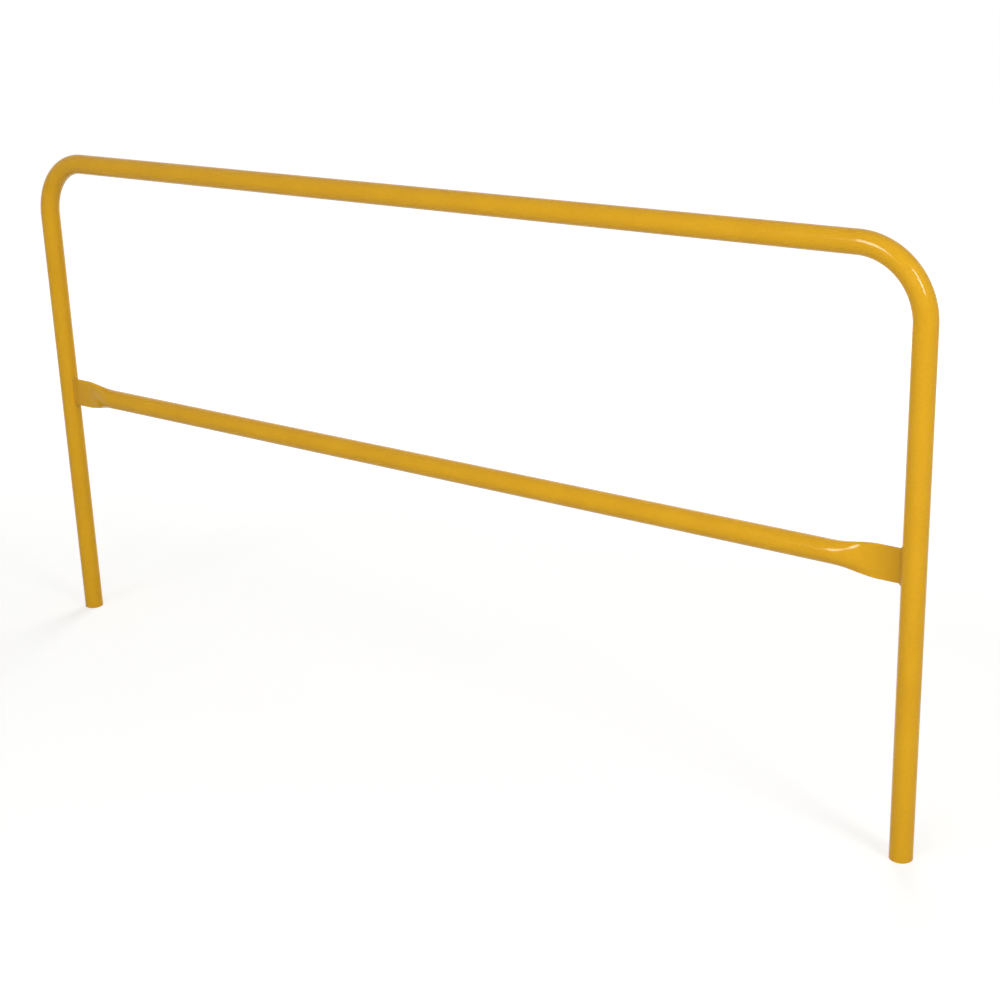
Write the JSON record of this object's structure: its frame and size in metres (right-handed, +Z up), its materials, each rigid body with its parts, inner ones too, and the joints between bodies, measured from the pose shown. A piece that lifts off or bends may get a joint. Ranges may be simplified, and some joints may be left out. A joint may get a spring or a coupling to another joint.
{
  "type": "industrial guard rail",
  "caption": "Welded tube guard rail section: a bent tube hoop on open post ends, with a round mid rail whose ends are pressed flat and welded to the posts.",
  "frame": {"origin": "on the floor, midway between the two posts, in the plane of the rail", "axes": "+X along the rails, +Z up, +Y square to the rail; the rail is the same seen from either side and end for end"},
  "size_m": [2.1336, 0.0414, 1.0795],
  "materials": {
    "powder_coat": "glossy safety yellow powder coat on steel"
  },
  "bodies": {
    "root": {"hoop": "powder_coat", "mid_rail": "powder_coat", "weld_left": "powder_coat", "weld_right": "powder_coat"}
  },
  "joints": []
}
